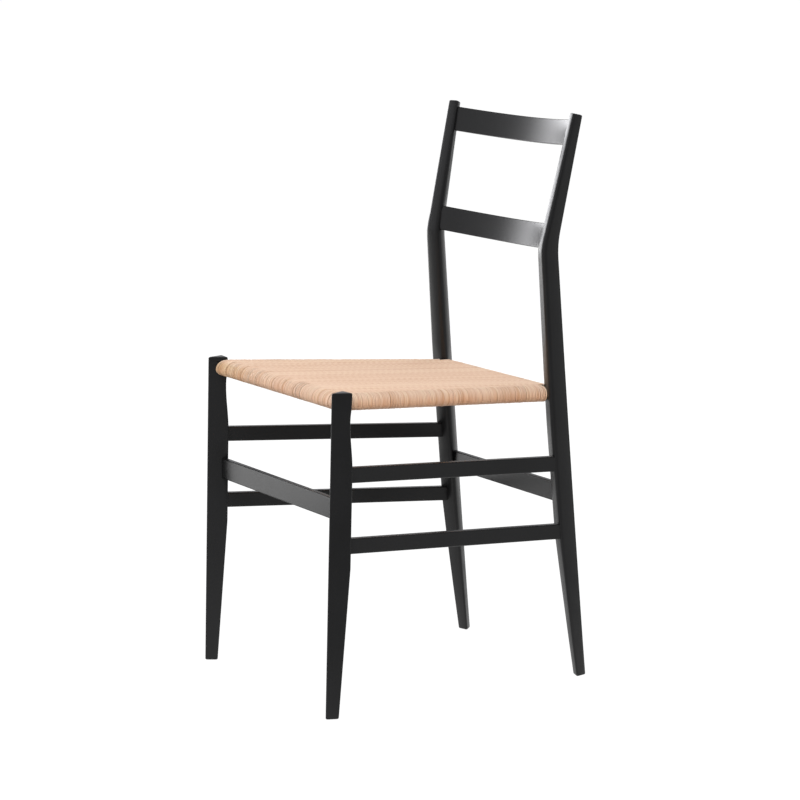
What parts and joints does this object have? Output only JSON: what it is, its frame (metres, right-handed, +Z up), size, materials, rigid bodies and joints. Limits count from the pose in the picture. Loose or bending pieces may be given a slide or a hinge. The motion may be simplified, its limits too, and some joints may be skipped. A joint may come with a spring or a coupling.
{
  "type": "dining chair",
  "caption": "Light dining chair with tapered three-sided legs, bent back posts, curved back slats and a woven cane seat.",
  "frame": {"origin": "on the floor, at the middle of the chair's width and depth", "axes": "+Z up, the chair faces -Y, +X is the left of a person sitting in it"},
  "size_m": [0.4046, 0.4582, 0.8296],
  "materials": {
    "lacquered_ash": "satin black lacquer",
    "bare_ash": "unfinished",
    "natural_cane": "woven natural cane, satin"
  },
  "bodies": {
    "root": {"front_leg_left": "lacquered_ash", "front_leg_right": "lacquered_ash", "back_leg_left": "lacquered_ash", "back_leg_right": "lacquered_ash", "front_stretcher": "lacquered_ash", "back_stretcher": "lacquered_ash", "upper_side_stretcher_left": "lacquered_ash", "upper_side_stretcher_right": "lacquered_ash", "lower_side_stretcher_left": "lacquered_ash", "lower_side_stretcher_right": "lacquered_ash", "upper_back_slat": "lacquered_ash", "lower_back_slat": "lacquered_ash", "seat_front_rail": "bare_ash", "seat_back_rail": "bare_ash", "seat_side_rail_left": "bare_ash", "seat_side_rail_right": "bare_ash", "woven_cane_seat": "natural_cane"}
  },
  "joints": []
}
